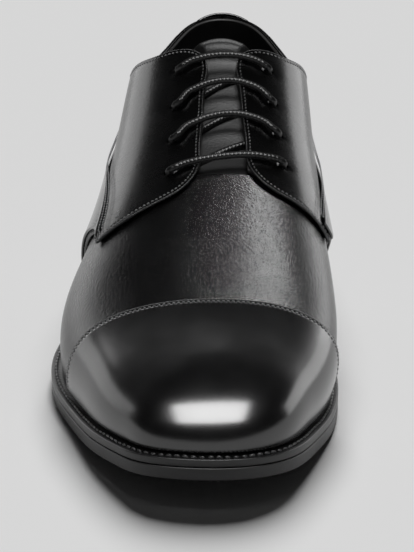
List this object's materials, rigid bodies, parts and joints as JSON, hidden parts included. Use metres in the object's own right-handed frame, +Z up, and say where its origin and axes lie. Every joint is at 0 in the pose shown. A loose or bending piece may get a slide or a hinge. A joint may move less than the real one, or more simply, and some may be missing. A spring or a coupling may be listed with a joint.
{
  "type": "cap toe derby shoe",
  "caption": "Men's black leather cap toe dress shoe for the right foot, open lacing over a tongue, stitched welt, low heel; stands empty on its sole.",
  "frame": {"origin": "middle of the shoe's box in plan, on the floor", "axes": "-Y from heel to toe, +X to the big toe side, +Z up"},
  "size_m": [0.105, 0.3024, 0.1071],
  "materials": {
    "polished_leather": "smooth black calf, polished, soft broad highlights",
    "grained_leather": "fine grained black leather, satin",
    "lining_leather": "matt dark lining",
    "stacked_leather": "black dressed sole edge, satin",
    "sole_rubber": "black rubber, satin",
    "waxed_cord": "round waxed braided cord, black"
  },
  "bodies": {
    "root": {"outsole": "sole_rubber", "welt": "stacked_leather", "heel": "stacked_leather", "heel_top_lift": "sole_rubber", "insole": "lining_leather", "upper": "polished_leather", "toe_cap": "polished_leather", "quarter_lateral": "polished_leather", "quarter_medial": "polished_leather", "foxing": "polished_leather", "back_tab": "polished_leather", "tongue": "grained_leather", "lace_bar_1": "waxed_cord", "lace_bar_2": "waxed_cord", "lace_bar_3": "waxed_cord", "lace_bar_4": "waxed_cord"}
  },
  "joints": []
}
